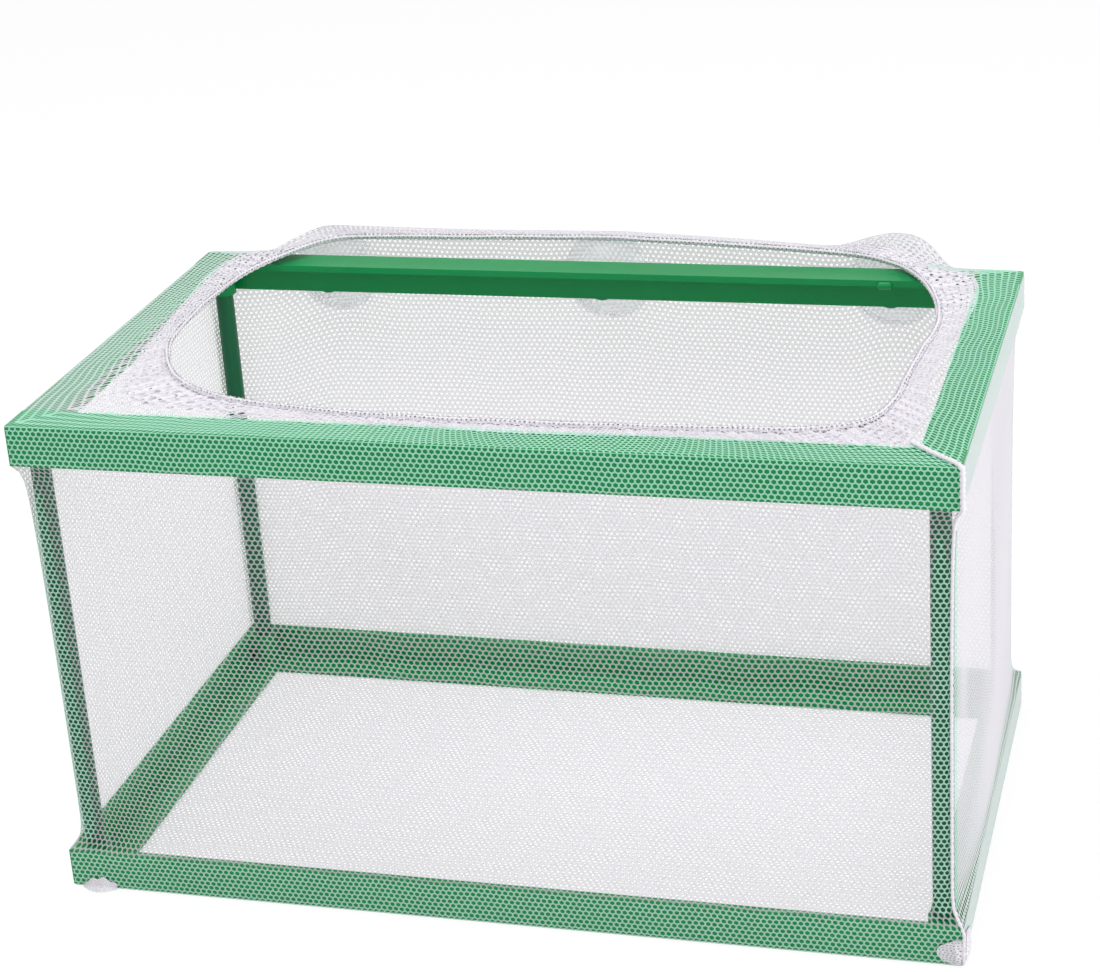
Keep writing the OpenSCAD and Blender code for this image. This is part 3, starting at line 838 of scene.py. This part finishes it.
def stitches(name, places, ways, outs, length, radius):
    """Short rounded stitches at places in millimetres, each along its way and lying on its out."""
    bm = bmesh.new()
    for at, way, out in zip(places, ways, outs):
        stretch = np.stack([way * length / 2, np.cross(out, way) * radius, out * radius], axis=1) * MM
        matrix = Matrix(stretch.tolist()).to_4x4()
        matrix.translation = (at * MM).tolist()
        bmesh.ops.create_uvsphere(bm, u_segments=6, v_segments=4, radius=1, matrix=matrix)
    return solid_piece(name, bm, sewing_thread)


stitch_share = np.arange(0, 1, STITCH_EVERY / mouth_length)
at, across, upward = hem_frame(stitch_share)
lean = np.radians(20)                       # from straight up towards the mouth
outs = upward * np.cos(lean) - across * np.sin(lean)
hem_stitches = stitches("hem_stitches", at + outs * HEM_R, np.cross(upward, across), outs,
                        STITCH_LENGTH, STITCH_R)

# ---- seam and gathered corners ----
# The bag is closed by an overlocked seam at the front right: it runs from the
# hem over the corner and down it. The surplus net is gathered at the bottom corners.
SEAM_HALF = 0.78
SEAM_LOWER_HALF = 0.5    # flatter below the rail, where nothing bunches it
SEAM_OFF = 0.45          # out from the corner's own line
SCALLOP_EVERY = 1.6
ZIGZAG_EVERY = 2.2
ZIGZAG_LENGTH = 1.3
ZIGZAG_R = 0.13

corner_wall = wall(0, half_w, half_d, post_x, post_y)
down = np.linspace(tall / 2 - 0.2, 1.0 - tall / 2, 240)
corner_line = corner_wall(np.full_like(down, half_w), down)
corner_out = np.array([1, -1, 0]) / math.sqrt(2)
corner_line = corner_line + corner_out * SEAM_OFF
at_hem = mouth(np.array([pull[1]]))[0]
seam_from = at_hem + (corner_line[0] - at_hem) * 0.5 + (0, 0, 0.9)
over_rail = corner_line[0] + (-0.8, 0.8, 0.75)
halfway = (seam_from + over_rail) / 2 + (0, 0, -0.1)
seam_line = smooth(np.concatenate([[seam_from, halfway, over_rail], corner_line[3::4]]), 900)
gone = np.concatenate([[0], np.cumsum(np.linalg.norm(np.diff(seam_line, axis=0), axis=1))])
below_rail = ease((leg_high - 1.5 - seam_line[:, 2]) / 3)
scallop = 1 + 0.16 * np.sin(2 * math.pi * gone / SCALLOP_EVERY) + 0.06 * np.sin(gone * 1.7)
seam_half = (SEAM_HALF + (SEAM_LOWER_HALF - SEAM_HALF) * below_rail) * scallop
seam = tube("overlocked_seam", seam_line, seam_half, seam_half * 0.8, 10, False, sewn_nylon,
            side=np.array([1, 1, 0]) / math.sqrt(2))
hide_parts("corner_seam")

zigzag_z = np.arange(3, leg_high - 6, ZIGZAG_EVERY / 2)
upwards = seam_line[::-1]
zigzag = np.stack([np.interp(zigzag_z, upwards[:, 2], upwards[:, k]) for k in range(3)], axis=1)
zigzag += (0.62, 0.1, 0)
slant = np.where(np.arange(len(zigzag)) % 2, 1, -1)
ways = np.stack([0 * slant, 0.45 * slant, np.full(len(slant), 0.89)], axis=1)
seam_stitches = stitches("seam_stitches", zigzag, ways, np.tile((1, 0, 0), (len(slant), 1)),
                         ZIGZAG_LENGTH, ZIGZAG_R)

TUFT_PLEAT = 1.9
LEFT_TUFT_WIDE = 17
LEFT_TUFT_TALL = 6
LEFT_TUFT_X = -123.2
LEFT_TUFT_DRAWN = 0.62   # its width once it is gathered, as a share
LEFT_TUFT_OUT = 2.4
LEFT_TUFT_HANGS = 3.6
RIGHT_TUFT_WIDE = 18
RIGHT_TUFT_TALL = 10
RIGHT_TUFT_HANGS = 8.6


def left_tuft_lie(u, v):
    """Gathered net that hangs over the bottom rail's edge and just touches the floor."""
    part = np.clip(0.5 - v / LEFT_TUFT_TALL, 0, 1)
    swell = np.cos(np.clip(u / 9, -1, 1) * math.pi / 2)
    pleats = 0.35 * np.sin(u * 2 * math.pi / TUFT_PLEAT + 2 * part) * swell
    x = LEFT_TUFT_X + LEFT_TUFT_DRAWN * u - 0.6 * part
    y = -half_d - 0.35 - (LEFT_TUFT_OUT * part**1.4 + pleats * part) * swell
    z = under + 0.2 + (LEFT_TUFT_HANGS + 0.5 * np.sin(u)) * (1 - part) * (0.4 + 0.6 * swell)
    return np.stack([x, y, z], axis=1)


def right_tuft_lie(u, v):
    """Gathered net that wraps the bottom corner under the seam."""
    turn_r = 2.2
    part = np.clip(0.5 + v / RIGHT_TUFT_TALL, 0, 1)
    u = u * np.sqrt(np.clip(1 - (2 * part - 1) ** 2, 0.05, 1))
    swell = np.sin(math.pi * part) * np.cos(np.clip(u / 9.5, -1, 1) * math.pi / 2)
    off = turn_r + 0.25 + 0.9 * swell + 0.3 * np.sin(u * 2 * math.pi / TUFT_PLEAT + 3 * part) * swell
    run = 5.2
    past = u + 9 - run                      # past the start of the corner's turn
    angle = np.clip(past / turn_r, 0, math.pi / 2)
    before, after = np.minimum(past, 0), np.maximum(past - turn_r * math.pi / 2, 0)
    x = half_w - turn_r + off * np.sin(angle) + before
    y = turn_r - half_d - off * np.cos(angle) + after
    return np.stack([x, y, under + 0.3 + RIGHT_TUFT_HANGS * part], axis=1)


for name, width, length, lie in (
    ("gathers_front_left", LEFT_TUFT_WIDE, LEFT_TUFT_TALL, left_tuft_lie),
    ("gathers_front_right", RIGHT_TUFT_WIDE, RIGHT_TUFT_TALL, right_tuft_lie),
):
    tuft, _ = knit(name, width, length, lie, across=1.1, up=0.9, strand=0.72,
                   material=sewn_nylon, sway=0)

size = {"cad": cad_box, "visual": [list(corner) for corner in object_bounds()]}
